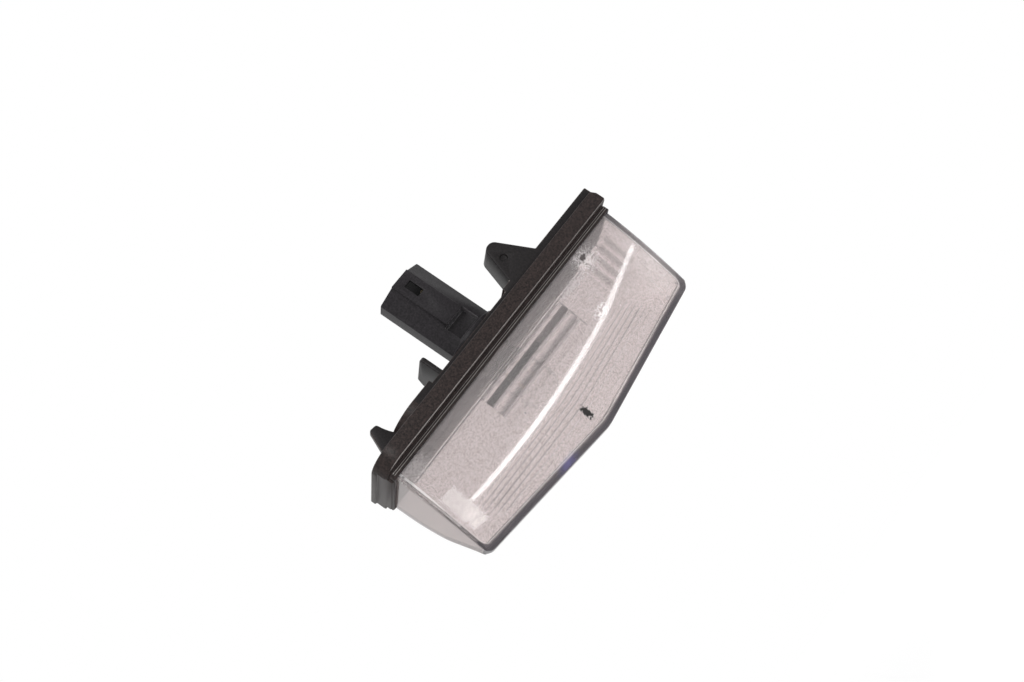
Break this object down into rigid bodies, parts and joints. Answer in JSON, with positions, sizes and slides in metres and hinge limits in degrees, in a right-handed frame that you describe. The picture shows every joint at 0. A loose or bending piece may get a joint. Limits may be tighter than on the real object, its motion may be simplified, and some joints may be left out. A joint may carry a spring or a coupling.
{
  "type": "number plate lamp",
  "caption": "Clip-in number plate lamp: black flanged housing with barb, stop and hook, clear wedge lens with a V-shaped tip, and a twist-in bulb holder with a plug socket.",
  "frame": {"origin": "in the seat plane, the rear face of the flange that lies against the body panel, behind the middle of the lens", "axes": "+X along the lamp, towards the end with the barb; +Z out of the seat, the way the plug socket points; -Y is the side with the steep lens wall"},
  "size_m": [0.0875, 0.0262, 0.0599],
  "materials": {
    "housing_black": "grained, dusty black moulding",
    "lens_clear": "clear moulding, hazed with age",
    "holder_black": "satin black moulding",
    "seal_rubber": "smooth",
    "bulb_glass": "clear blown glass",
    "filament_wire": "drawn tungsten",
    "lead_wire": "drawn wire",
    "terminal_brass": "stamped, tin-dull"
  },
  "bodies": {
    "root": {"housing": "housing_black", "lens": "lens_clear", "bulb_holder": "holder_black", "holder_seal": "seal_rubber", "bulb_glass": "bulb_glass", "bulb_filament": "filament_wire", "bulb_lead_near": "lead_wire", "bulb_lead_far": "lead_wire", "terminal_near": "terminal_brass", "terminal_far": "terminal_brass"}
  },
  "joints": []
}
